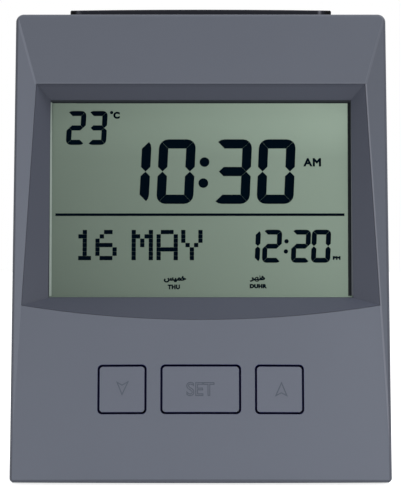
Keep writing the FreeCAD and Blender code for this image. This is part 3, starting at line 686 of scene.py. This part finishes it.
legends = dict(
    morning=dict(words="AM", left=0.03278, foot=0.04278, width=0.0057, height=0.00275, weight=0.046,
                 spread=1.12),
    afternoon=dict(words="PM", left=0.04187, foot=0.0124, width=0.00245, height=0.0012, weight=0.085,
                   spread=1.1),
    weekday=dict(words="THU", left=-0.01046, foot=0.0029, width=0.00387, height=0.00152, weight=0.07,
                 spread=1.12),
    weekdayLocal=dict(words="\ufeb2\ufef4\ufee4\ufea7", left=-0.0117, foot=0.0051, width=0.0071,
                      height=0.0021, weight=0.062),
    noonPrayer=dict(words="DUHR", left=0.0155, foot=0.00322, width=0.00545, height=0.0014, weight=0.085,
                    spread=1.12),
    noonPrayerLocal=dict(words="\ufeae\ufeec\ufec7", left=0.0155, foot=0.0053, width=0.0049,
                         height=0.0021, weight=0.07),
    celsius=dict(words="C", left=-0.02809, foot=0.05848, width=0.0021, height=0.00232, weight=0.07))
degree = dict(x=-0.02863, up=0.06052, radius=0.00053, sides=16)


def displayLegends():
    bm = bmesh.new()
    bmesh.ops.create_circle(bm, cap_ends=True, segments=degree["sides"], radius=degree["radius"],
                            matrix=Matrix.Translation((degree["x"], degree["up"], 0)))
    thicken(bm, display["thickness"])
    for name, values in legends.items():
        mesh = lettered(name, **values)
        bm.from_mesh(mesh)
        bpy.data.meshes.remove(mesh)
    return asFilm(bm, "displayLegends")


displayLegends()
print("display drawn")

# painted light and shade on the window's lip: a thin skin on the bezel's sloping inner edge, which carries the
# lip's painted shadow and painted highlight

lipSkin = dict(width=0.09634, height=0.06434, flare=0.00068, start=0.004, depth=0.00117, skin=0.00002)


def windowLipShading():
    bm = bmesh.new()
    bmesh.ops.create_grid(bm, x_segments=1, y_segments=1, size=0.5)
    bmesh.ops.scale(bm, vec=(lipSkin["width"], lipSkin["height"], 1), verts=bm.verts)
    keepRim(bm, lipSkin["flare"], lipSkin["depth"])
    bmesh.ops.solidify(bm, geom=list(bm.faces), thickness=-lipSkin["skin"])
    bmesh.ops.recalc_face_normals(bm, faces=list(bm.faces))
    matrix = onFace(0, display["windowFoot"] + lipSkin["height"] / 2, lipSkin["start"])
    return asPiece("windowLipShading", finishMesh(bm, "windowLipShading", matrix), lipLightAndShade)


windowLipShading()

# painted shadow on the glass: a flat frame under the lip's edge for the shadow the lip casts, wider on the
# right, most of all at its foot; on the left it carries a painted highlight line

onGlassShade = dict(half=0.0476, foot=0.05925, head=0.12239, depth=0.0052, thickness=0.00003,
              inner=((-0.0472, 0.0593), (0.04662, 0.0593), (0.04717, 0.12224), (-0.04757, 0.12224)))


def glassShadowAndLight():
    bm = bmesh.new()
    outer = ((-onGlassShade["half"], onGlassShade["foot"]), (onGlassShade["half"], onGlassShade["foot"]),
             (onGlassShade["half"], onGlassShade["head"]), (-onGlassShade["half"], onGlassShade["head"]))
    for points in (outer, onGlassShade["inner"]):
        corners = [bm.verts.new((x, up, 0)) for x, up in points]
        for first, second in zip(corners, corners[1:] + corners[:1]):
            bm.edges.new((first, second))
    bmesh.ops.bridge_loops(bm, edges=list(bm.edges))
    bmesh.ops.recalc_face_normals(bm, faces=list(bm.faces))
    thicken(bm, onGlassShade["thickness"])
    mesh = finishMesh(bm, "glassShadowAndLight", onFace(0, 0, onGlassShade["depth"]))
    return asPiece("glassShadowAndLight", mesh, lipLightAndShade)


glassShadowAndLight()

# key marks: faint lines printed on the keys' crowned fronts

keyMarks = dict(stroke=0.0003, thickness=0.00003, sink=0.000005, start=0.02)
arrows = dict(
    down=((-0.0263, 0.03137), (-0.02446, 0.03028), (-0.02226, 0.03152), (-0.02446, 0.02683)),
    up=((0.02301, 0.02652), (0.02502, 0.02755), (0.02704, 0.02652), (0.02508, 0.03121)))
setWord = dict(words="SET", left=-0.00443, foot=0.02668, width=0.00868, height=0.00437, weight=0.022,
               hollow=True)


def settle(mesh, node):
    # each point of a flat drawing drops onto the node's own surface
    tree = BVHTree.FromObject(frame["nodes"][node], bpy.context.evaluated_depsgraph_get())
    plane = onFace(0, 0, 0)
    out = (plane.to_3x3() @ Vector((0, 0, 1))).normalized()
    for vertex in mesh.vertices:
        above = plane @ Vector((vertex.co.x, vertex.co.y, keyMarks["start"]))
        vertex.co = tree.ray_cast(above, -out)[0] + out * (vertex.co.z - keyMarks["sink"])


def arrowMark(key, points):
    bm = bmesh.new()
    outlineFace(bm, points)
    bmesh.ops.recalc_face_normals(bm, faces=list(bm.faces))
    keepRim(bm, keyMarks["stroke"])
    thicken(bm, keyMarks["thickness"])
    mesh = finishMesh(bm, key + "Mark", Matrix.Identity(4))
    settle(mesh, "key_" + key)
    return asPiece(key + "Mark", mesh, markInk, "key_" + key)


for key, points in arrows.items():
    arrowMark(key, points)


def setMark():
    mesh = lettered("setMark", **setWord)
    mesh.transform(Matrix.Diagonal((1, 1, keyMarks["thickness"] / display["thickness"], 1)))
    settle(mesh, "key_set")
    return asPiece("setMark", mesh, markInk, "key_set")


setMark()
print("lip and key marks made")


# stage and light

stage = dict(size=6.0, floor=(0.86, 0.86, 0.86, 1.0), roughness=0.9, white=(1, 1, 1, 1), glow=0.8, fill=0.445,
             aim=(0, 0, 0.07))
lamps = dict(
    keyLamp=dict(place=(0.55, -0.2, 1.2), size=0.5, power=6.5),
    sideLamp=dict(place=(0.32, -0.45, 0.15), size=0.15, power=0.43),
    leftLamp=dict(place=(-0.8, -0.8, 0.5), size=0.5, power=0.9))


def stageMath(tree, operation, first, second):
    # a Math node of the stage, from a socket and a socket or number
    node = tree.nodes.new("ShaderNodeMath")
    node.operation = operation
    tree.links.new(first, node.inputs[0])
    if isinstance(second, bpy.types.NodeSocket):
        tree.links.new(second, node.inputs[1])
    else:
        node.inputs[1].default_value = second
    return node.outputs[0]


def whiteForViewers(tree, strength):
    # how bright the stage looks to the camera, in gloss and through glass, apart from what lights the object
    path = tree.nodes.new("ShaderNodeLightPath")
    mirrored = stageMath(tree, "MAXIMUM", path.outputs["Is Glossy Ray"], path.outputs["Is Transmission Ray"])
    seen = stageMath(tree, "MAXIMUM", path.outputs["Is Camera Ray"], mirrored)
    return stageMath(tree, "MULTIPLY", seen, strength)


def makeFloor():
    bm = bmesh.new()
    bmesh.ops.create_grid(bm, x_segments=1, y_segments=1, size=stage["size"])
    floor = bpy.data.objects.new("floor", finishMesh(bm, "floor", Matrix.Identity(4)))
    bpy.context.scene.collection.objects.link(floor)
    material = bpy.data.materials.new("floorPaper")
    material.use_nodes = True
    tree = material.node_tree
    shader = tree.nodes["Principled BSDF"]
    shader.inputs["Base Color"].default_value = stage["floor"]
    shader.inputs["Roughness"].default_value = stage["roughness"]
    shader.inputs["Specular IOR Level"].default_value = 0.0
    shader.inputs["Emission Color"].default_value = stage["white"]
    tree.links.new(whiteForViewers(tree, stage["glow"]), shader.inputs["Emission Strength"])
    floor.data.materials.append(material)


def makeWorld():
    world = bpy.data.worlds.new("studio")
    world.use_nodes = True
    bpy.context.scene.world = world
    tree = world.node_tree
    background = tree.nodes["Background"]
    background.inputs["Color"].default_value = stage["white"]
    shown = whiteForViewers(tree, 1 - stage["fill"])
    tree.links.new(stageMath(tree, "ADD", shown, stage["fill"]), background.inputs["Strength"])


def makeLamp(name, values):
    data = bpy.data.lights.new(name, "AREA")
    data.shape = "DISK"
    data.size = values["size"]
    data.energy = values["power"]
    lamp = bpy.data.objects.new(name, data)
    lamp.location = values["place"]
    lamp.rotation_euler = (Vector(stage["aim"]) - lamp.location).to_track_quat("-Z", "Y").to_euler()
    bpy.context.scene.collection.objects.link(lamp)


makeFloor()
makeWorld()
for name, values in lamps.items():
    makeLamp(name, values)
print("stage lit")
